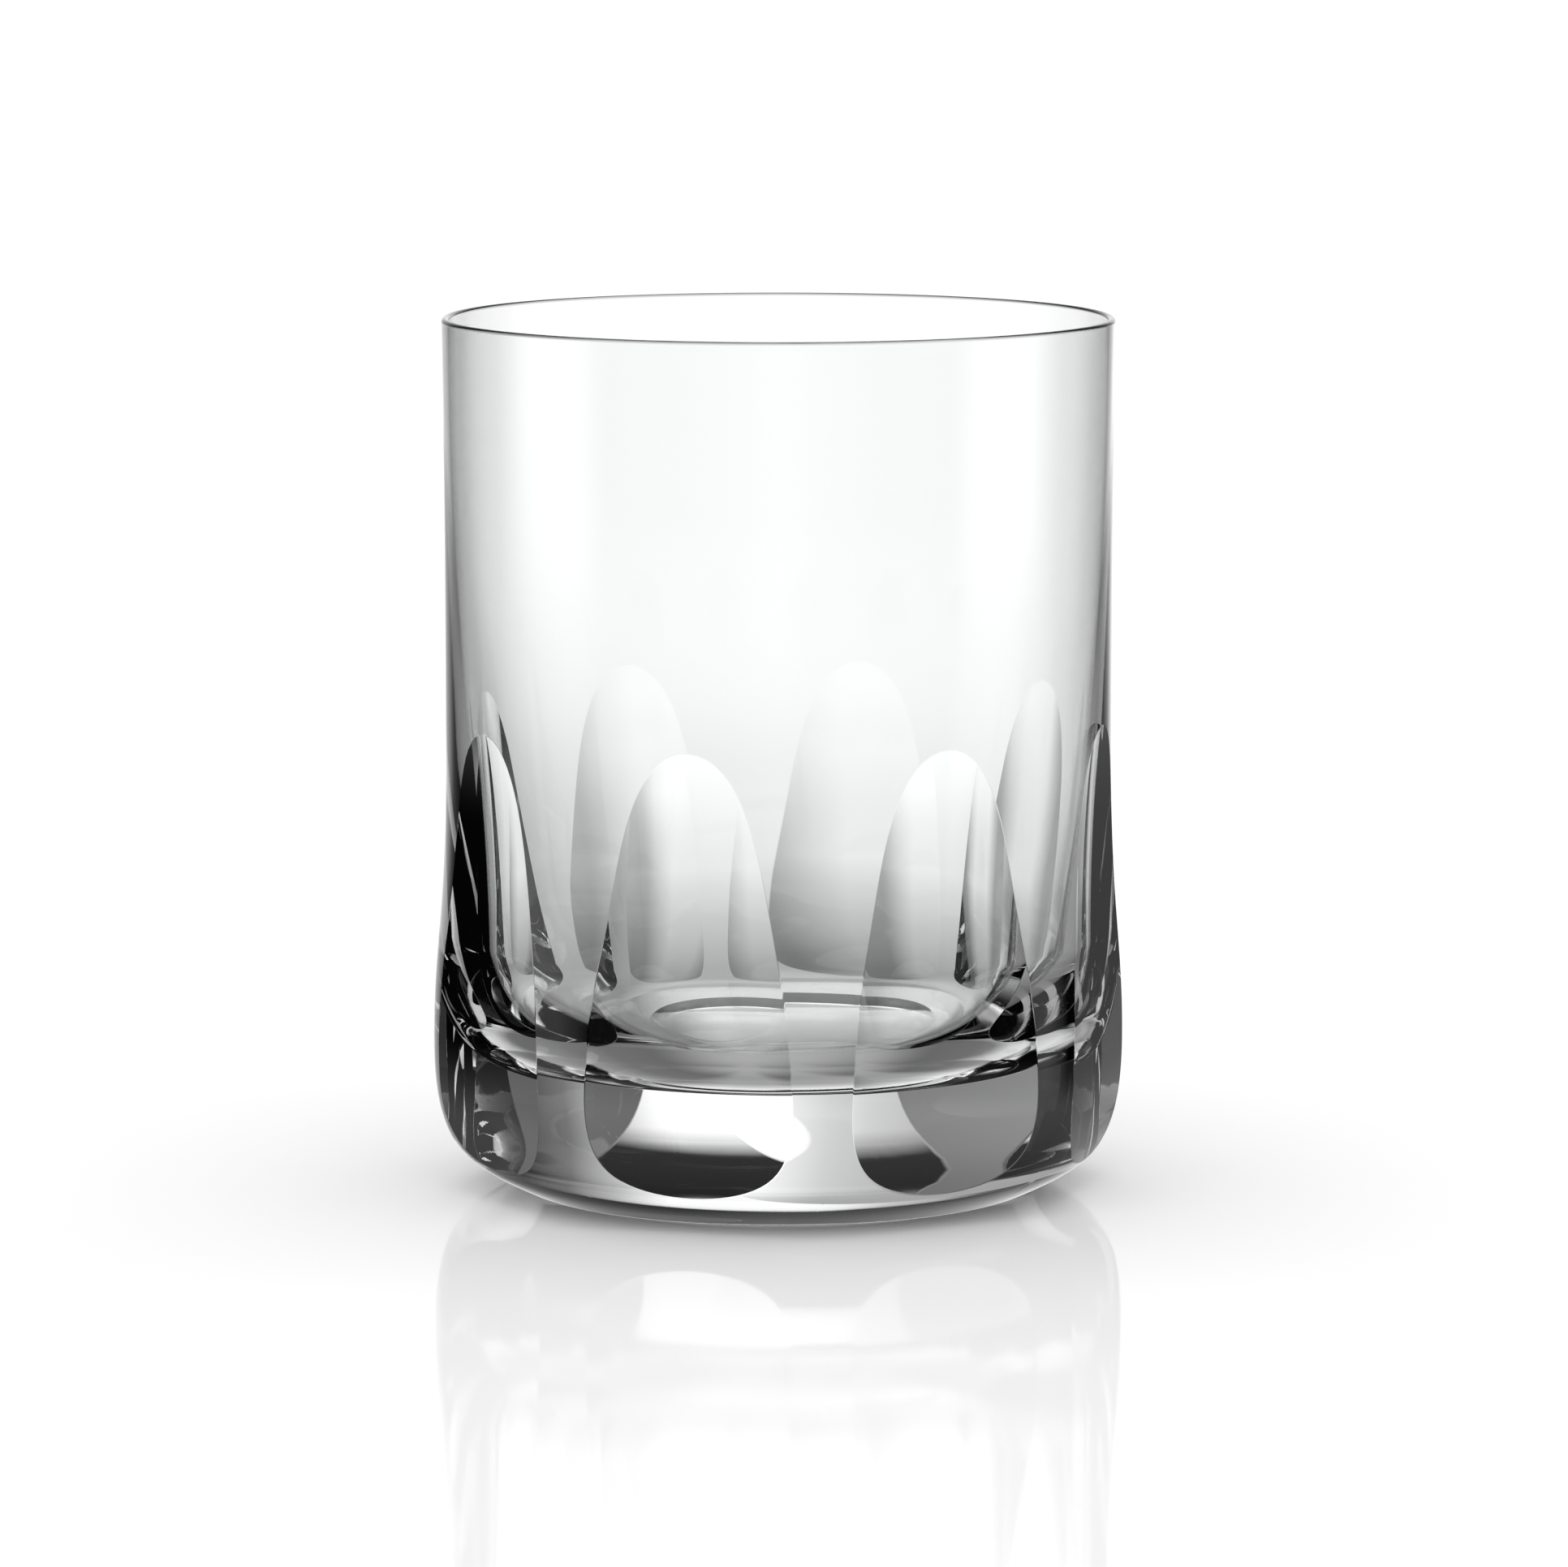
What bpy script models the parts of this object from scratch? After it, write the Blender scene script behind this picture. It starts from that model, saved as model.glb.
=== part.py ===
"""Whiskey tumbler: one piece of clear crystal with eight flat olive cuts round its lower half.

Run with: blender --background --python part.py
Units are metres and +Z is up. The origin is the centre of the foot, on the surface the tumbler stands on.
The body is turned from one closed profile, and then eight flat cuts are ground into its outside.
"""
import math

import bmesh
import bpy
import numpy as np

MM = 0.001

# Driving dimensions
HEIGHT = 104.0 * MM
RIM_RADIUS = 40.0 * MM
RIM_WALL = 1.0 * MM
WAIST_RADIUS = 39.7 * MM
WAIST_HEIGHT = 52.0 * MM
BELLY_RADIUS = 41.3 * MM
BELLY_HEIGHT = 17.5 * MM
FOOT_RADIUS = 30.5 * MM
FLOOR_HEIGHT = 15.3 * MM
FLOOR_RADIUS = 22.0 * MM
CORNER_HEIGHT = 15.0 * MM
BOWL_RADIUS = 35.5 * MM
RECESS_RADIUS = 20.0 * MM
RECESS_DEPTH = 1.5 * MM
CUT_COUNT = 8
CUT_BOTTOM = 2.0 * MM
CUT_TOP = 62.0 * MM
CUT_DISTANCE = 39.4 * MM
CUT_HALF_WIDTH = 16.0 * MM
CUT_OUTSIDE = 48.0 * MM

LIP_HEIGHT = HEIGHT - RIM_WALL / 2

# Each side curve is a cubic Bezier: an end, two handles and the other end, as (radius, height).
# The heel rounds under to the foot, the shoulder draws in to a slim waist, and the mouth flares a little.
HEEL = [
    (FOOT_RADIUS, 0.0),
    (FOOT_RADIUS + 7.5 * MM, BELLY_HEIGHT / 5),
    (BELLY_RADIUS, 5.0 * MM),
    (BELLY_RADIUS, BELLY_HEIGHT),
]
SHOULDER = [
    (BELLY_RADIUS, BELLY_HEIGHT),
    (BELLY_RADIUS, 29.0 * MM),
    (WAIST_RADIUS, 33.0 * MM),
    (WAIST_RADIUS, WAIST_HEIGHT),
]
MOUTH = [
    (WAIST_RADIUS, WAIST_HEIGHT),
    (WAIST_RADIUS, 70.0 * MM),
    (WAIST_RADIUS, 88.0 * MM),
    (RIM_RADIUS, LIP_HEIGHT),
]

# The inside: the wall thickens downwards, and a tall soft corner joins it to the level floor
BOWL = [
    (BOWL_RADIUS, FLOOR_HEIGHT + CORNER_HEIGHT),
    (BOWL_RADIUS + 1.0 * MM, 42.0 * MM),
    (RIM_RADIUS - 0.8 * MM, 68.0 * MM),
    (RIM_RADIUS - RIM_WALL, LIP_HEIGHT),
]
CORNER = [
    (FLOOR_RADIUS, FLOOR_HEIGHT),
    (FLOOR_RADIUS + 8.0 * MM, FLOOR_HEIGHT),
    (BOWL_RADIUS - 0.7 * MM, FLOOR_HEIGHT + 7.0 * MM),
    (BOWL_RADIUS, FLOOR_HEIGHT + CORNER_HEIGHT),
]

# The ground face of a cut, seen from the side. It turns under at the heel, and higher up the wheel
# hollows it before it runs out through the wall.
CUT_HEEL = [
    (CUT_DISTANCE - 2.9 * MM, CUT_BOTTOM),
    (CUT_DISTANCE - 0.8 * MM, 4.5 * MM),
    (CUT_DISTANCE, 11.0 * MM),
    (CUT_DISTANCE, 20.0 * MM),
]
CUT_HOLLOW = [
    (CUT_DISTANCE, 20.0 * MM),
    (CUT_DISTANCE, 30.0 * MM),
    (CUT_DISTANCE - 1.7 * MM, 46.0 * MM),
    (CUT_DISTANCE + 1.1 * MM, CUT_TOP),
]

# Mesh fineness
TURN_STEPS = 72
HEEL_ROWS = 8
SHOULDER_ROWS = 7
MOUTH_ROWS = 6
BOWL_ROWS = 13
CORNER_ROWS = 8
LIP_ROWS = 6
RECESS_ROWS = 4
CUT_HEEL_ROWS = 6
CUT_HOLLOW_ROWS = 9
WELD_DISTANCE = 0.01 * MM
SHARP_ANGLE = math.radians(30)

# Crystal: refractive index of lead-free crystal, almost colourless, polished
CRYSTAL_COLOUR = (0.94, 0.95, 0.95, 1.0)
CRYSTAL_IOR = 1.53
CRYSTAL_ROUGHNESS = 0.02


def clear_scene():
    for thing in list(bpy.data.objects):
        bpy.data.objects.remove(thing, do_unlink=True)


def new_collection(name):
    collection = bpy.data.collections.new(name)
    bpy.context.scene.collection.children.link(collection)
    return collection


def bezier(ends, rows):
    """Points (radius, height) along a cubic Bezier, rows steps from its first end to its last."""
    points = []
    for t in np.linspace(0.0, 1.0, rows + 1):
        weights = ((1 - t) ** 3, 3 * t * (1 - t) ** 2, 3 * t ** 2 * (1 - t), t ** 3)
        radius = sum(weight * end[0] for weight, end in zip(weights, ends))
        height = sum(weight * end[1] for weight, end in zip(weights, ends))
        points.append((float(radius), float(height)))
    return points


def body_profile():
    """Closed profile as (radius, height), from the middle of the floor round the wall to the recess."""
    profile = [(0.0, FLOOR_HEIGHT)]
    profile += bezier(CORNER, CORNER_ROWS)
    profile += bezier(BOWL, BOWL_ROWS)[1:]

    lip_centre = RIM_RADIUS - RIM_WALL / 2
    for i in range(1, LIP_ROWS):
        turn = math.radians(180) * i / LIP_ROWS
        profile.append((
            lip_centre - RIM_WALL / 2 * math.cos(turn),
            LIP_HEIGHT + RIM_WALL / 2 * math.sin(turn),
        ))

    outside = bezier(HEEL, HEEL_ROWS) + bezier(SHOULDER, SHOULDER_ROWS)[1:] + bezier(MOUTH, MOUTH_ROWS)[1:]
    profile += reversed(outside)

    for i in range(RECESS_ROWS + 1):
        radius = RECESS_RADIUS * (1 - i / RECESS_ROWS)
        profile.append((radius, RECESS_DEPTH * (1 - (radius / RECESS_RADIUS) ** 2)))
    return profile


def turned_body(name, collection):
    profile = body_profile()
    mesh = bpy.data.meshes.new(name)
    vertices = [(radius, 0.0, height) for radius, height in profile]
    edges = [(i, i + 1) for i in range(len(profile) - 1)]
    mesh.from_pydata(vertices, edges, [])
    body = bpy.data.objects.new(name, mesh)
    collection.objects.link(body)

    screw = body.modifiers.new("Turn", "SCREW")
    screw.axis = "Z"
    screw.angle = math.radians(360)
    screw.steps = TURN_STEPS
    screw.render_steps = TURN_STEPS
    screw.use_merge_vertices = True
    screw.merge_threshold = WELD_DISTANCE
    screw.use_smooth_shade = True
    return body


def cut_outline():
    """Flat outline of the glass that one cut grinds away, as (distance from the axis, height)."""
    outline = bezier(CUT_HEEL, CUT_HEEL_ROWS) + bezier(CUT_HOLLOW, CUT_HOLLOW_ROWS)[1:]
    outline.append((CUT_OUTSIDE, CUT_TOP))
    outline.append((CUT_OUTSIDE, CUT_BOTTOM))
    return outline


def cut_mesh():
    """The ground-away block of one cut, as a mesh round the XY plane: X is outwards and Y is up."""
    outline = cut_outline()
    curve = bpy.data.curves.new("olive_cut", "CURVE")
    curve.dimensions = "2D"
    curve.fill_mode = "BOTH"
    curve.extrude = CUT_HALF_WIDTH
    spline = curve.splines.new("POLY")
    spline.points.add(len(outline) - 1)
    for point, (distance, height) in zip(spline.points, outline):
        point.co = (distance, height, 0.0, 1.0)
    spline.use_cyclic_u = True

    holder = bpy.data.objects.new("olive_cut_outline", curve)
    bpy.context.scene.collection.objects.link(holder)
    bpy.context.view_layer.update()
    evaluated = holder.evaluated_get(bpy.context.evaluated_depsgraph_get())
    mesh = bpy.data.meshes.new_from_object(evaluated)
    bpy.data.objects.remove(holder, do_unlink=True)

    welded = bmesh.new()
    welded.from_mesh(mesh)
    bmesh.ops.remove_doubles(welded, verts=welded.verts, dist=WELD_DISTANCE)
    bmesh.ops.recalc_face_normals(welded, faces=welded.faces)
    welded.to_mesh(mesh)
    welded.free()
    mesh.shade_smooth()
    mesh.set_sharp_from_angle(angle=SHARP_ANGLE)
    return mesh


def add_cutters(collection):
    """Eight copies of the cut, evenly spaced round the axis, the first one facing +X."""
    mesh = cut_mesh()
    for i in range(CUT_COUNT):
        cutter = bpy.data.objects.new(f"olive_cutter_{i + 1}", mesh)
        cutter.rotation_euler = (math.radians(90), 0.0, math.radians(360) * i / CUT_COUNT)
        cutter.hide_render = True
        cutter.display_type = "WIRE"
        collection.objects.link(cutter)


def cut_olives(body, cutters):
    cut = body.modifiers.new("Olive cuts", "BOOLEAN")
    cut.operation = "DIFFERENCE"
    cut.solver = "EXACT"
    cut.operand_type = "COLLECTION"
    cut.collection = cutters


def crystal_material():
    material = bpy.data.materials.new("Clear crystal")
    material.use_nodes = True
    shader = material.node_tree.nodes["Principled BSDF"]
    shader.inputs["Base Color"].default_value = CRYSTAL_COLOUR
    shader.inputs["Roughness"].default_value = CRYSTAL_ROUGHNESS
    shader.inputs["Metallic"].default_value = 0.0
    shader.inputs["IOR"].default_value = CRYSTAL_IOR
    shader.inputs["Transmission Weight"].default_value = 1.0
    return material


def main():
    clear_scene()
    parts = new_collection("Whiskey tumbler")
    cutters = new_collection("Cutters")
    add_cutters(cutters)
    body = turned_body("tumbler_body", parts)
    cut_olives(body, cutters)
    body.data.materials.append(crystal_material())


main()
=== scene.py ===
"""Looks of the whiskey tumbler: the fine crystal body, its material, the table, the light and the camera.

The body is one closed mesh. Each of its eight sectors has a grid that wraps round the outline of one cut,
so that the flat cut, its polished edge and the turned wall each keep their own exact shading.
"""

import math

import bpy
import numpy as np
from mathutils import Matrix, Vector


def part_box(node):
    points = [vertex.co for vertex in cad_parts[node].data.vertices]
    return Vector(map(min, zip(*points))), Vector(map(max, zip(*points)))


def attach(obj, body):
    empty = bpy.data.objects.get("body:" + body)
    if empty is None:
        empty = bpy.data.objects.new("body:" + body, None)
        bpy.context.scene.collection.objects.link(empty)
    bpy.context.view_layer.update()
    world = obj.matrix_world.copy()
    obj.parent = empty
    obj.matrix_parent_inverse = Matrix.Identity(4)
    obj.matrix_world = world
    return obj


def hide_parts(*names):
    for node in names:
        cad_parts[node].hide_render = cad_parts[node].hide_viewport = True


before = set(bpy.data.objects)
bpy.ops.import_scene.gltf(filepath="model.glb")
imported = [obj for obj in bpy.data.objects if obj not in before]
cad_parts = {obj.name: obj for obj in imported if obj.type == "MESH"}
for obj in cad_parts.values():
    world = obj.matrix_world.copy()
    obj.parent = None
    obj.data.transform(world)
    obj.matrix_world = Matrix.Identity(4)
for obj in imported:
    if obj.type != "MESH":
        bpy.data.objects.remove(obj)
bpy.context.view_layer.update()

MM = 0.001

# Sizes from the frame. Cuts face all four sides of the box, so it is the rim that reaches them.
LOW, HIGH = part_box("tumbler_body")
HEIGHT = HIGH.z
RIM_RADIUS = (HIGH.x - LOW.x) / 2
RIM_WALL = 1.0 * MM
LIP_HEIGHT = HEIGHT - RIM_WALL / 2

# The crystal body, as the CAD has it
WAIST_RADIUS = RIM_RADIUS - 0.3 * MM
WAIST_HEIGHT = HEIGHT / 2
BELLY_RADIUS = RIM_RADIUS + 1.3 * MM
BELLY_HEIGHT = 17.5 * MM
FOOT_RADIUS = 30.5 * MM
FLOOR_HEIGHT = 15.3 * MM
FLOOR_RADIUS = 22.0 * MM
CORNER_HEIGHT = 15.0 * MM
BOWL_RADIUS = 35.5 * MM
RECESS_RADIUS = 20.0 * MM
RECESS_DEPTH = 1.5 * MM
CUT_COUNT = 8
CUT_BOTTOM = 2.0 * MM
CUT_TOP = 62.0 * MM
CUT_DISTANCE = 39.4 * MM

# Side curves: cubic Beziers as an end, two handles and the other end, each (radius, height)
HEEL = [
    (FOOT_RADIUS, 0.0),
    (FOOT_RADIUS + 7.5 * MM, BELLY_HEIGHT / 5),
    (BELLY_RADIUS, 5.0 * MM),
    (BELLY_RADIUS, BELLY_HEIGHT),
]
SHOULDER = [
    (BELLY_RADIUS, BELLY_HEIGHT),
    (BELLY_RADIUS, 29.0 * MM),
    (WAIST_RADIUS, 33.0 * MM),
    (WAIST_RADIUS, WAIST_HEIGHT),
]
MOUTH = [
    (WAIST_RADIUS, WAIST_HEIGHT),
    (WAIST_RADIUS, 70.0 * MM),
    (WAIST_RADIUS, 88.0 * MM),
    (RIM_RADIUS, LIP_HEIGHT),
]
BOWL = [
    (BOWL_RADIUS, FLOOR_HEIGHT + CORNER_HEIGHT),
    (BOWL_RADIUS + 1.0 * MM, 42.0 * MM),
    (RIM_RADIUS - 0.8 * MM, 68.0 * MM),
    (RIM_RADIUS - RIM_WALL, LIP_HEIGHT),
]
CORNER = [
    (FLOOR_RADIUS, FLOOR_HEIGHT),
    (FLOOR_RADIUS + 8.0 * MM, FLOOR_HEIGHT),
    (BOWL_RADIUS - 0.7 * MM, FLOOR_HEIGHT + 7.0 * MM),
    (BOWL_RADIUS, FLOOR_HEIGHT + CORNER_HEIGHT),
]
CUT_HEEL = [
    (CUT_DISTANCE - 2.9 * MM, CUT_BOTTOM),
    (CUT_DISTANCE - 0.8 * MM, 4.5 * MM),
    (CUT_DISTANCE, 11.0 * MM),
    (CUT_DISTANCE, 20.0 * MM),
]
CUT_HOLLOW = [
    (CUT_DISTANCE, 20.0 * MM),
    (CUT_DISTANCE, 30.0 * MM),
    (CUT_DISTANCE - 1.7 * MM, 46.0 * MM),
    (CUT_DISTANCE + 1.1 * MM, CUT_TOP),
]

# Mesh fineness
CURVE_SAMPLES = 1500
SECTOR_STEPS = 24
SECTOR_ROWS = 56
CUT_RINGS = 14
WALL_RINGS = 8
WALL_SPACING = 1.5
OUTLINE_HALVINGS = 50
CUT_CENTRE = 24.0 * MM
EDGE_WIDTH = 0.12 * MM
FIRST_ROW = 2.2 * MM
LAST_ROW = 60.0 * MM
UPPER_RINGS = 40
LIP_RINGS = 12
BOWL_RINGS = 60
CORNER_RINGS = 36
FLOOR_RINGS = 14
HEEL_RINGS = 10
FOOT_FILLET = 0.3 * MM
FILLET_RINGS = 6
FOOT_RINGS = 6
RECESS_RINGS = 24
LEAST_CLIMB = 1e-9


def bezier(ends, t):
    """Points and tangents of a cubic Bezier, where t runs from 0 at its first end to 1 at its last."""
    a, b, c, d = (np.array(end) for end in ends)
    points = (1 - t) ** 3 * a + 3 * t * (1 - t) ** 2 * b + 3 * t ** 2 * (1 - t) * c + t ** 3 * d
    tangents = 3 * (1 - t) ** 2 * (b - a) + 6 * t * (1 - t) * (c - b) + 3 * t ** 2 * (d - c)
    return points, tangents


class SideCurve:
    """A chain of cubic Beziers that climbs all the way, read by height: its radius, and its slope."""

    def __init__(self, *chain):
        t = np.linspace(0.0, 1.0, CURVE_SAMPLES)[:, None]
        pieces = [bezier(ends, t) for ends in chain]
        self.points = np.concatenate([points for points, _ in pieces])
        tangents = np.concatenate([tangents for _, tangents in pieces])
        self.slopes = tangents[:, 0] / np.maximum(tangents[:, 1], LEAST_CLIMB)

    def radius(self, height):
        return np.interp(height, self.points[:, 1], self.points[:, 0])

    def slope(self, height):
        return np.interp(height, self.points[:, 1], self.slopes)


class Shell:
    """Vertices, normals and faces of the body as they are added."""

    def __init__(self):
        self.vertices = []
        self.normals = []
        self.faces = []

    def add(self, point, normal):
        """One vertex. Its normal may have any length, and its number is returned."""
        length = math.sqrt(sum(part * part for part in normal))
        self.vertices.append(tuple(point))
        self.normals.append(tuple(part / length for part in normal))
        return len(self.vertices) - 1

    def add_turned(self, angle, radius, height, outward, upward):
        """A vertex of the turned body. outward and upward are the parts of its normal."""
        around = (math.cos(angle), math.sin(angle))
        point = (radius * around[0], radius * around[1], height)
        return self.add(point, (outward * around[0], outward * around[1], upward))

    def add_ring(self, radius, height, outward, upward):
        """One ring of the turned body, with the same normal parts all round."""
        return [self.add_turned(angle, radius, height, outward, upward) for angle in ring_angles()]

    def bridge(self, upper, lower):
        """Faces between two rings of the same length, seen from outside with upper above."""
        count = len(upper)
        for i in range(count):
            j = (i + 1) % count
            self.faces.append((upper[i], lower[i], lower[j], upper[j]))

    def close(self, ring, height, upward):
        """A fan from the axis to the ring. It faces up when upward is 1 and down when it is -1."""
        middle = self.add((0.0, 0.0, height), (0.0, 0.0, upward))
        count = len(ring)
        for i in range(count):
            j = (i + 1) % count
            corners = (ring[i], ring[j]) if upward > 0 else (ring[j], ring[i])
            self.faces.append((*corners, middle))


def ring_angles():
    """Directions of a ring's vertices, from the left side of the first sector."""
    count = SECTOR_STEPS * CUT_COUNT
    return np.arange(count) * 2 * math.pi / count - math.pi / CUT_COUNT


def sector_loop():
    """Border of a sector, as (angle from the cut's middle, height), once round from its low left corner."""
    half = math.pi / CUT_COUNT
    angles = np.linspace(-half, half, SECTOR_STEPS + 1)
    heights = np.linspace(FIRST_ROW, LAST_ROW, SECTOR_ROWS + 1)
    loop = [(angle, FIRST_ROW) for angle in angles[:-1]]
    loop += [(half, height) for height in heights[:-1]]
    loop += [(angle, LAST_ROW) for angle in angles[:0:-1]]
    loop += [(-half, height) for height in heights[:0:-1]]
    return np.array(loop)


def cut_middle():
    """The point of a cut that its rings close in on, as (angle from the cut's middle, height)."""
    return np.array([0.0, CUT_CENTRE])


def outline_share(outside, cut, loop):
    """How far from the cut's middle to each border point the cut's outline lies, found by halving."""
    middle = cut_middle()
    near = np.zeros(len(loop))
    far = np.ones(len(loop))
    for _ in range(OUTLINE_HALVINGS):
        share = (near + far) / 2
        spot = middle + (loop - middle) * share[:, None]
        wall = outside.radius(spot[:, 1])
        in_cut = wall * np.cos(spot[:, 0]) > cut.radius(np.clip(spot[:, 1], CUT_BOTTOM, CUT_TOP))
        near = np.where(in_cut, share, near)
        far = np.where(in_cut, far, share)
    return (near + far) / 2


def add_sector_border(shell, outside):
    """Border vertices that neighbouring sectors share: upright seams, and the rows above and below."""
    half = math.pi / CUT_COUNT
    heights = np.linspace(FIRST_ROW, LAST_ROW, SECTOR_ROWS + 1)

    def wall_vertex(angle, height):
        return shell.add_turned(angle, outside.radius(height), height, 1.0, -outside.slope(height))

    seams = []
    top = []
    bottom = []
    for k in range(CUT_COUNT):
        middle_angle = 2 * half * k
        seam = [wall_vertex(middle_angle - half, height) for height in heights]
        seams.append(seam)
        top.append(seam[-1])
        bottom.append(seam[0])
        for i in range(1, SECTOR_STEPS):
            angle = middle_angle - half + 2 * half * i / SECTOR_STEPS
            top.append(wall_vertex(angle, LAST_ROW))
            bottom.append(wall_vertex(angle, FIRST_ROW))
    return seams, top, bottom


def border_of(k, seams, top, bottom):
    """The border vertices of sector k, in the order of sector_loop."""
    start = k * SECTOR_STEPS
    right = seams[(k + 1) % CUT_COUNT]
    upper = [top[start + i] for i in range(SECTOR_STEPS)] + [right[-1]]
    border = bottom[start:start + SECTOR_STEPS]
    border += right[:-1]
    border += upper[:0:-1]
    border += seams[k][:0:-1]
    return border


def add_sector(shell, outside, cut, border, k, loop, share):
    """Rings from the sector's border in to the outline, over its polished edge, and across the flat cut."""
    facing = 2 * math.pi * k / CUT_COUNT
    middle = cut_middle()
    reach = np.hypot((loop[:, 0] - middle[0]) * RIM_RADIUS, loop[:, 1] - middle[1])
    edge = EDGE_WIDTH / reach

    rings = []
    for i in range(WALL_RINGS - 1, 0, -1):
        part = (i / WALL_RINGS) ** WALL_SPACING
        rings.append(("wall", share + edge + (1 - share - edge) * part))
    rings.append(("wall", share + edge))
    rings.append(("edge", share))
    rings.append(("cut", share - edge))
    for i in range(CUT_RINGS - 1, 0, -1):
        rings.append(("cut", (share - edge) * i / CUT_RINGS))

    last = border
    for kind, distance in rings:
        spots = middle + (loop - middle) * distance[:, None]
        ring = []
        for angle, height in spots:
            ring.append(add_sector_vertex(shell, outside, cut, kind, angle, height, facing))
        shell.bridge(ring, last)
        last = ring

    middle_normal = (math.cos(facing), math.sin(facing), -float(cut.slope(CUT_CENTRE)))
    radius = float(cut.radius(CUT_CENTRE))
    centre = shell.add((radius * math.cos(facing), radius * math.sin(facing), CUT_CENTRE), middle_normal)
    for i, corner in enumerate(last):
        shell.faces.append((corner, last[(i + 1) % len(last)], centre))


def add_sector_vertex(shell, outside, cut, kind, angle, height, facing):
    """A vertex on the wall, on the flat cut, or on the edge between them, where the two normals meet."""
    around = np.array([math.cos(angle + facing), math.sin(angle + facing)])
    wall_normal = np.array([around[0], around[1], -outside.slope(height)])
    cut_normal = np.array([math.cos(facing), math.sin(facing), -cut.slope(height)])
    wall_normal /= np.linalg.norm(wall_normal)
    cut_normal /= np.linalg.norm(cut_normal)
    radius = float(outside.radius(height))
    normal = wall_normal
    if kind == "edge":
        normal = wall_normal + cut_normal
    if kind == "cut":
        radius = float(cut.radius(height)) / math.cos(angle)
        normal = cut_normal
    return shell.add((radius * around[0], radius * around[1], height), normal)


def add_rim(shell, outside, inside, top):
    """The wall above the cuts, the fire-polished lip, and the inside down to the soft corner."""
    last = top
    for height in np.linspace(LAST_ROW, LIP_HEIGHT, UPPER_RINGS + 1)[1:]:
        ring = shell.add_ring(float(outside.radius(height)), height, 1.0, -outside.slope(height))
        shell.bridge(ring, last)
        last = ring

    for i in range(1, LIP_RINGS):
        turn = math.pi * i / LIP_RINGS
        radius = RIM_RADIUS - RIM_WALL / 2 + RIM_WALL / 2 * math.cos(turn)
        height = LIP_HEIGHT + RIM_WALL / 2 * math.sin(turn)
        ring = shell.add_ring(radius, height, math.cos(turn), math.sin(turn))
        shell.bridge(ring, last)
        last = ring

    for height in np.linspace(LIP_HEIGHT, FLOOR_HEIGHT + CORNER_HEIGHT, BOWL_RINGS + 1):
        ring = shell.add_ring(float(inside.radius(height)), height, -1.0, inside.slope(height))
        shell.bridge(ring, last)
        last = ring
    return last


def add_floor(shell, last):
    """The soft corner and the level floor inside the bowl."""
    for t in np.linspace(1.0, 0.0, CORNER_RINGS + 1)[1:]:
        spot, way = bezier(CORNER, t)
        ring = shell.add_ring(spot[0], spot[1], -way[1], way[0])
        shell.bridge(ring, last)
        last = ring
    for radius in np.linspace(FLOOR_RADIUS, 0.0, FLOOR_RINGS + 1)[1:-1]:
        ring = shell.add_ring(radius, FLOOR_HEIGHT, 0.0, 1.0)
        shell.bridge(ring, last)
        last = ring
    shell.close(last, FLOOR_HEIGHT, 1.0)


def add_foot(shell, outside, bottom):
    """The heel below the cuts, its rounded edge, the flat foot ring and the recess ground under the base."""
    last = bottom
    for height in np.linspace(FIRST_ROW, FOOT_FILLET, HEEL_RINGS)[1:]:
        ring = shell.add_ring(float(outside.radius(height)), height, 1.0, -outside.slope(height))
        shell.bridge(last, ring)
        last = ring

    slope = float(outside.slope(FOOT_FILLET))
    start = np.array([float(outside.radius(FOOT_FILLET)), FOOT_FILLET])
    corner = np.array([start[0] - slope * FOOT_FILLET, 0.0])
    end = corner - np.array([np.linalg.norm(start - corner), 0.0])
    for i in range(1, FILLET_RINGS + 1):
        t = i / FILLET_RINGS
        spot = (1 - t) ** 2 * start + 2 * t * (1 - t) * corner + t ** 2 * end
        way = 2 * (1 - t) * (corner - start) + 2 * t * (end - corner)
        ring = shell.add_ring(spot[0], spot[1], -way[1], way[0])
        shell.bridge(last, ring)
        last = ring

    for radius in np.linspace(end[0], RECESS_RADIUS, FOOT_RINGS + 1)[1:]:
        ring = shell.add_ring(radius, 0.0, 0.0, -1.0)
        shell.bridge(last, ring)
        last = ring

    for radius in RECESS_RADIUS * np.sqrt(np.linspace(1.0, 0.0, RECESS_RINGS + 1))[1:-1]:
        height = RECESS_DEPTH * (1 - (radius / RECESS_RADIUS) ** 2)
        slant = -2 * RECESS_DEPTH * radius / RECESS_RADIUS ** 2
        ring = shell.add_ring(radius, height, slant, -1.0)
        shell.bridge(last, ring)
        last = ring
    shell.close(last, RECESS_DEPTH, -1.0)


def build_crystal(material):
    """The whole body as one closed mesh: eight sectors, then the rim and the inside, then the foot."""
    outside = SideCurve(HEEL, SHOULDER, MOUTH)
    inside = SideCurve(BOWL)
    cut = SideCurve(CUT_HEEL, CUT_HOLLOW)
    shell = Shell()
    seams, top, bottom = add_sector_border(shell, outside)
    loop = sector_loop()
    share = outline_share(outside, cut, loop)
    for k in range(CUT_COUNT):
        add_sector(shell, outside, cut, border_of(k, seams, top, bottom), k, loop, share)
    add_floor(shell, add_rim(shell, outside, inside, top))
    add_foot(shell, outside, bottom)

    mesh = bpy.data.meshes.new("crystal_tumbler")
    mesh.from_pydata(shell.vertices, [], shell.faces)
    mesh.shade_smooth()
    mesh.normals_split_custom_set_from_vertices(shell.normals)
    mesh.materials.append(material)
    crystal = bpy.data.objects.new("crystal_tumbler", mesh)
    bpy.context.scene.collection.objects.link(crystal)
    return crystal


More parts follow.
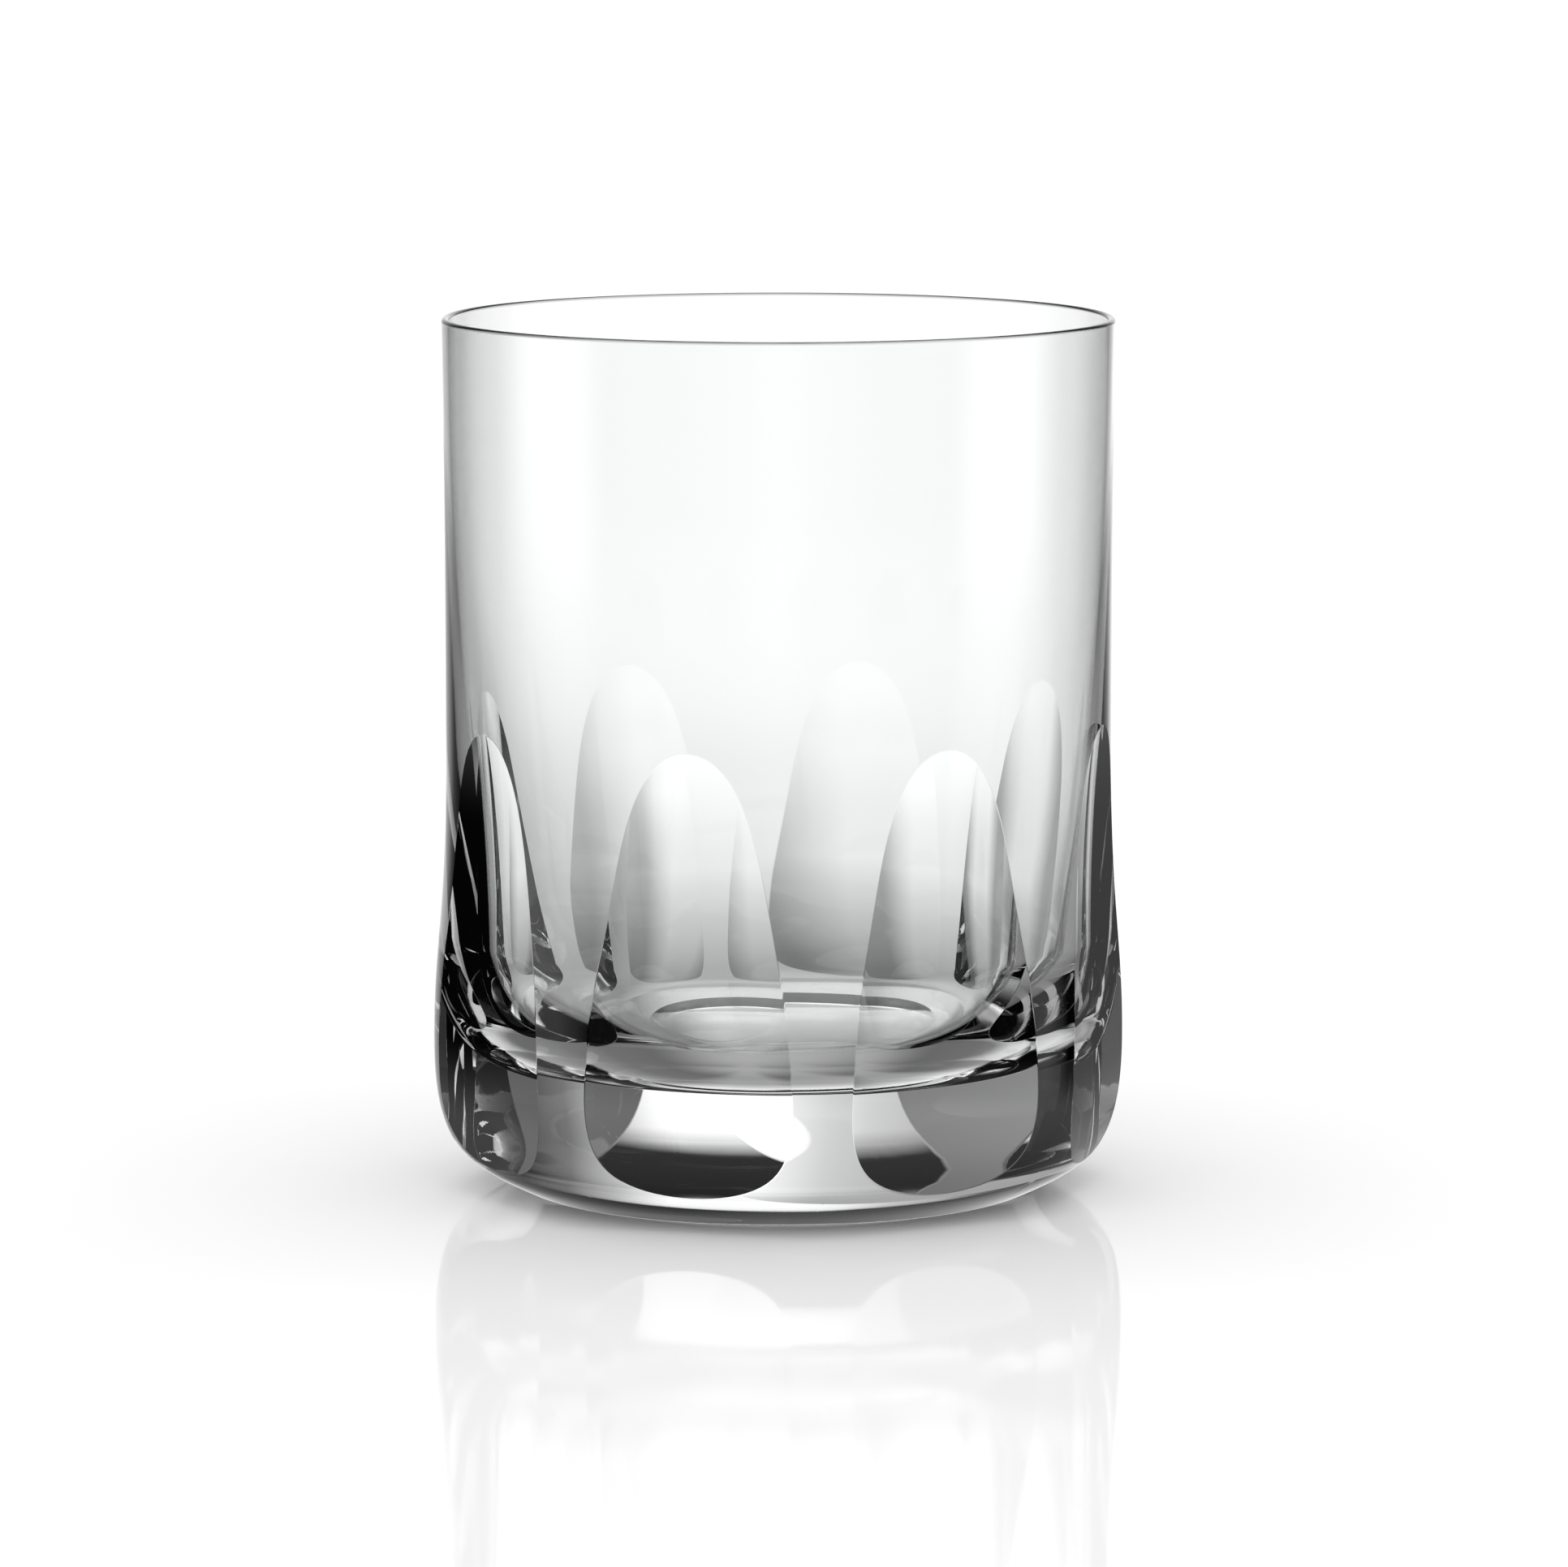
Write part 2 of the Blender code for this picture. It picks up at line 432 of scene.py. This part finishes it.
# Crystal
CRYSTAL_IOR = 1.53
CRYSTAL_COLOUR = (0.985, 0.99, 0.99, 1.0)
FOOT_WEAR_TOP = 0.6 * MM
FOOT_WEAR_ROUGHNESS = 0.12
FOOT_WEAR_EVEN = 0.35
SPECK_SCALE = 900.0
SPECK_RANGE = (0.45, 0.7)
HANDLING_SCALE = 60.0
HANDLING_RANGE = (0.55, 0.85)
HANDLING_ROUGHNESS = 0.012
DRAG_SCALE = 260.0
DRAG_STRETCH = (1.0, 1.0, 0.04)
DRAG_DEPTH = 0.05
DRAG_FADE_FROM = 45.0 * MM
WAVE_SCALE = 22.0
WAVE_STRETCH = (1.0, 1.0, 0.5)
BUMP_STRENGTH = 0.12
BUMP_DISTANCE = 0.02 * MM


def new_material(name):
    material = bpy.data.materials.new(name)
    material.use_nodes = True
    return material, material.node_tree.nodes, material.node_tree.links


def math_node(nodes, links, operation, first, second=None):
    """A Math node. Each input is a socket or a number."""
    node = nodes.new("ShaderNodeMath")
    node.operation = operation
    for socket, value in zip(node.inputs, (first, second)):
        if value is None:
            continue
        if isinstance(value, (int, float)):
            socket.default_value = value
        else:
            links.new(value, socket)
    return node.outputs[0]


def ramp_node(nodes, links, value, low, high, start, end):
    """A smooth change from start to end while value goes from low to high."""
    node = nodes.new("ShaderNodeMapRange")
    node.interpolation_type = "SMOOTHSTEP"
    node.inputs["From Min"].default_value = low
    node.inputs["From Max"].default_value = high
    node.inputs["To Min"].default_value = start
    node.inputs["To Max"].default_value = end
    links.new(value, node.inputs["Value"])
    return node.outputs["Result"]


def noise_node(nodes, links, coordinates, scale, detail, stretch=(1.0, 1.0, 1.0)):
    """Noise from 0 to 1. A small part of stretch draws it out along that axis."""
    mapping = nodes.new("ShaderNodeMapping")
    mapping.inputs["Scale"].default_value = stretch
    links.new(coordinates, mapping.inputs["Vector"])
    noise = nodes.new("ShaderNodeTexNoise")
    noise.inputs["Scale"].default_value = scale
    noise.inputs["Detail"].default_value = detail
    links.new(mapping.outputs["Vector"], noise.inputs["Vector"])
    return noise.outputs["Fac"]


def crystal_material():
    """Clear crystal: gentle waves from blowing, faint drag lines low down, and a foot dulled by tables."""
    material, nodes, links = new_material("clear_crystal")
    shader = nodes["Principled BSDF"]
    shader.inputs["Base Color"].default_value = CRYSTAL_COLOUR
    shader.inputs["IOR"].default_value = CRYSTAL_IOR
    shader.inputs["Transmission Weight"].default_value = 1.0

    coordinates = nodes.new("ShaderNodeTexCoord").outputs["Object"]
    apart = nodes.new("ShaderNodeSeparateXYZ")
    links.new(coordinates, apart.inputs["Vector"])
    height = apart.outputs["Z"]

    foot = ramp_node(nodes, links, height, 0.0, FOOT_WEAR_TOP, 1.0, 0.0)
    grains = noise_node(nodes, links, coordinates, SPECK_SCALE, detail=5.0)
    specks = ramp_node(nodes, links, grains, *SPECK_RANGE, 0.0, 1.0)
    scuffs = math_node(nodes, links, "ADD", specks, FOOT_WEAR_EVEN)
    worn = math_node(nodes, links, "MULTIPLY", foot, scuffs)
    dulled = math_node(nodes, links, "MULTIPLY", worn, FOOT_WEAR_ROUGHNESS)
    handled = noise_node(nodes, links, coordinates, HANDLING_SCALE, detail=3.0)
    polish = ramp_node(nodes, links, handled, *HANDLING_RANGE, 0.0, HANDLING_ROUGHNESS)
    links.new(math_node(nodes, links, "ADD", polish, dulled), shader.inputs["Roughness"])

    drag = noise_node(nodes, links, coordinates, DRAG_SCALE, detail=2.0, stretch=DRAG_STRETCH)
    waves = noise_node(nodes, links, coordinates, WAVE_SCALE, detail=1.0, stretch=WAVE_STRETCH)
    ground = ramp_node(nodes, links, height, DRAG_FADE_FROM, CUT_TOP, 1.0, 0.0)
    dragged = math_node(nodes, links, "MULTIPLY", drag, ground)
    lines = math_node(nodes, links, "MULTIPLY", dragged, DRAG_DEPTH)
    bump = nodes.new("ShaderNodeBump")
    bump.inputs["Strength"].default_value = BUMP_STRENGTH
    bump.inputs["Distance"].default_value = BUMP_DISTANCE
    links.new(math_node(nodes, links, "ADD", waves, lines), bump.inputs["Height"])
    links.new(bump.outputs["Normal"], shader.inputs["Normal"])
    return material


# Stage
TABLE_RADIUS = 2.4
TABLE_CORNERS = 96
TABLE_WHITE = 0.95
TABLE_GLOSS = 0.21
GLOSS_ROUGHNESS_LOW = 0.04
GLOSS_ROUGHNESS_HIGH = 0.07
MOTTLE_SCALE = 40.0
MOTTLE_RANGE = (0.3, 0.7)


def add_table(material):
    """A round table top at the height of the foot."""
    turns = [2 * math.pi * i / TABLE_CORNERS for i in range(TABLE_CORNERS)]
    corners = [(TABLE_RADIUS * math.cos(turn), TABLE_RADIUS * math.sin(turn), 0.0) for turn in turns]
    mesh = bpy.data.meshes.new("table")
    mesh.from_pydata(corners, [], [tuple(range(TABLE_CORNERS))])
    mesh.materials.append(material)
    table = bpy.data.objects.new("table", mesh)
    bpy.context.scene.collection.objects.link(table)
    return table


def table_material():
    """White matt board with a thin, even gloss that mottles a little."""
    material, nodes, links = new_material("white_table")
    board = nodes["Principled BSDF"]
    board.inputs["Base Color"].default_value = (TABLE_WHITE, TABLE_WHITE, TABLE_WHITE, 1.0)
    board.inputs["Specular IOR Level"].default_value = 0.0
    board.inputs["Roughness"].default_value = 1.0
    gloss = nodes.new("ShaderNodeBsdfGlossy")
    coordinates = nodes.new("ShaderNodeTexCoord").outputs["Object"]
    mottle = noise_node(nodes, links, coordinates, MOTTLE_SCALE, detail=4.0)
    roughness = ramp_node(nodes, links, mottle, *MOTTLE_RANGE, GLOSS_ROUGHNESS_LOW, GLOSS_ROUGHNESS_HIGH)
    links.new(roughness, gloss.inputs["Roughness"])
    both = nodes.new("ShaderNodeMixShader")
    both.inputs["Fac"].default_value = TABLE_GLOSS
    links.new(board.outputs["BSDF"], both.inputs[1])
    links.new(gloss.outputs["BSDF"], both.inputs[2])
    links.new(both.outputs["Shader"], nodes["Material Output"].inputs["Surface"])
    return material


# Studio light: brightness over direction, as lists of (degrees, brightness). The glass and the table's
# gloss see this studio, and the camera and the matt board see an even white instead. Sideways, 0 is straight
# behind the tumbler and plus is to the right. The lit paper has a half-shaded left part. The room round it is
# the same on both sides: above the table line dark, with a soft window abreast and a faint one behind the
# camera, and below the line the white table. Straight down, where sideways means nothing, it is even.
OPEN_WHITE = 1.27
STUDIO_BY_ELEVATION = [
    (-90, 0.48),
    (-62, 0.34),
    (-45, 0.40),
    (-27, 0.68),
    (-20, 0.84),
    (-13, 1.0),
    (-8, 1.15),
    (12, 1.15),
    (25, 0.5),
    (36, 0.03),
    (90, 0.02),
]
PAPER_ABOVE = [
    (-28, 0.12),
    (-20, 0.44),
    (-13, 0.58),
    (-7, 0.90),
    (-2, 1.0),
    (13, 1.0),
    (20, 0.48),
    (28, 0.14),
]
ROOM_ABOVE = [
    (38, 0.01),
    (68, 0.01),
    (80, 0.60),
    (102, 0.60),
    (116, 0.02),
    (140, 0.02),
    (180, 0.25),
]
PAPER_BELOW = [
    (-12, 0.45),
    (-5, 0.80),
    (0, 1.0),
    (14, 1.0),
]
ROOM_BELOW = [
    (24, 0.45),
    (64, 0.45),
    (84, 0.70),
    (110, 0.90),
    (180, 0.95),
]
TABLE_LINE = -16.0
LINE_FADE = 7.0
STEEP_LOW = -86.0
STEEP_HIGH = -60.0
STEEP_BRIGHTNESS = 0.95


def brightness_ramp(nodes, links, degrees, lowest, highest, stops):
    """Brightness read from a list of (degrees, brightness) stops."""
    ramp = nodes.new("ShaderNodeValToRGB")
    elements = ramp.color_ramp.elements
    while len(elements) < len(stops):
        elements.new(0.5)
    for element, (at, brightness) in zip(elements, stops):
        element.position = (at - lowest) / (highest - lowest)
        element.color = (brightness, brightness, brightness, 1.0)
    place = nodes.new("ShaderNodeMapRange")
    place.inputs["From Min"].default_value = lowest
    place.inputs["From Max"].default_value = highest
    links.new(degrees, place.inputs["Value"])
    links.new(place.outputs["Result"], ramp.inputs["Fac"])
    return ramp.outputs["Color"]


def all_round(paper, room):
    """Stops from -180 to 180 degrees: the room on the left, the paper, and the room again on the right."""
    return [(-at, brightness) for at, brightness in reversed(room)] + paper + room


def studio_brightness(nodes, links, facing):
    """Lit paper behind the tumbler, a room with soft windows above the table line, and white below it."""
    turned = nodes.new("ShaderNodeVectorRotate")
    turned.rotation_type = "Z_AXIS"
    turned.inputs["Angle"].default_value = -math.radians(facing)
    links.new(nodes.new("ShaderNodeTexCoord").outputs["Generated"], turned.inputs["Vector"])
    apart = nodes.new("ShaderNodeSeparateXYZ")
    links.new(turned.outputs["Vector"], apart.inputs["Vector"])
    rise = math_node(nodes, links, "ARCSINE", apart.outputs["Z"])
    turn = math_node(nodes, links, "ARCTAN2", apart.outputs["Y"], apart.outputs["X"])
    elevation = math_node(nodes, links, "DEGREES", rise)
    aside = math_node(nodes, links, "MULTIPLY", math_node(nodes, links, "DEGREES", turn), -1.0)

    level = brightness_ramp(nodes, links, elevation, -90, 90, STUDIO_BY_ELEVATION)
    above = brightness_ramp(nodes, links, aside, -180, 180, all_round(PAPER_ABOVE, ROOM_ABOVE))
    below = brightness_ramp(nodes, links, aside, -180, 180, all_round(PAPER_BELOW, ROOM_BELOW))
    share = ramp_node(nodes, links, elevation, TABLE_LINE, TABLE_LINE + LINE_FADE, 0.0, 1.0)
    from_above = math_node(nodes, links, "MULTIPLY", above, share)
    from_below = math_node(nodes, links, "MULTIPLY", below, math_node(nodes, links, "SUBTRACT", 1.0, share))
    side = math_node(nodes, links, "ADD", from_above, from_below)
    slant = ramp_node(nodes, links, elevation, STEEP_LOW, STEEP_HIGH, 0.0, 1.0)
    steep = ramp_node(nodes, links, elevation, STEEP_LOW, STEEP_HIGH, STEEP_BRIGHTNESS, 0.0)
    side = math_node(nodes, links, "ADD", math_node(nodes, links, "MULTIPLY", side, slant), steep)
    return math_node(nodes, links, "MULTIPLY", level, side)


def studio_world(facing):
    """The light all round, with the paper's middle in the direction facing, in degrees from +X."""
    world = bpy.data.worlds.new("studio")
    world.use_nodes = True
    bpy.context.scene.world = world
    nodes = world.node_tree.nodes
    links = world.node_tree.links
    ray = nodes.new("ShaderNodeLightPath")
    plain = math_node(nodes, links, "MAXIMUM", ray.outputs["Is Camera Ray"], ray.outputs["Is Diffuse Ray"])
    studio = studio_brightness(nodes, links, facing)
    mix = nodes.new("ShaderNodeMix")
    mix.inputs["B"].default_value = OPEN_WHITE
    links.new(plain, mix.inputs["Factor"])
    links.new(studio, mix.inputs["A"])
    links.new(mix.outputs["Result"], nodes["Background"].inputs["Color"])


# Camera: about a metre from the tumbler, with a long lens, and looking a little down at it
VIEW_AZIMUTH = 15.4
VIEW_DISTANCE = 1.005
VIEW_HEIGHT = 0.179
VIEW_PITCH = 7.42
LENS = 194.8
SENSOR = 36.0
SHIFT_X = 0.0035


def add_camera():
    data = bpy.data.cameras.new("photo_camera")
    data.sensor_width = SENSOR
    data.lens = LENS
    data.shift_x = SHIFT_X
    camera = bpy.data.objects.new("photo_camera", data)
    turn = math.radians(VIEW_AZIMUTH)
    camera.location = (VIEW_DISTANCE * math.sin(turn), -VIEW_DISTANCE * math.cos(turn), VIEW_HEIGHT)
    camera.rotation_euler = (math.radians(90 - VIEW_PITCH), 0.0, turn)
    bpy.context.scene.collection.objects.link(camera)
    bpy.context.scene.camera = camera


crystal = build_crystal(crystal_material())
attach(crystal, "root")
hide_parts("tumbler_body")

# Direct light is not traced through glass, which would make the shadow too dark. About half of it stays.
crystal.visible_shadow = False

# The glass sees the studio's lower half in the table's place, and so not its own shadow on the table
table = add_table(table_material())
table.visible_transmission = False
table.visible_glossy = False

studio_world(90.0 + VIEW_AZIMUTH)
add_camera()
bpy.context.scene.view_settings.view_transform = "Standard"
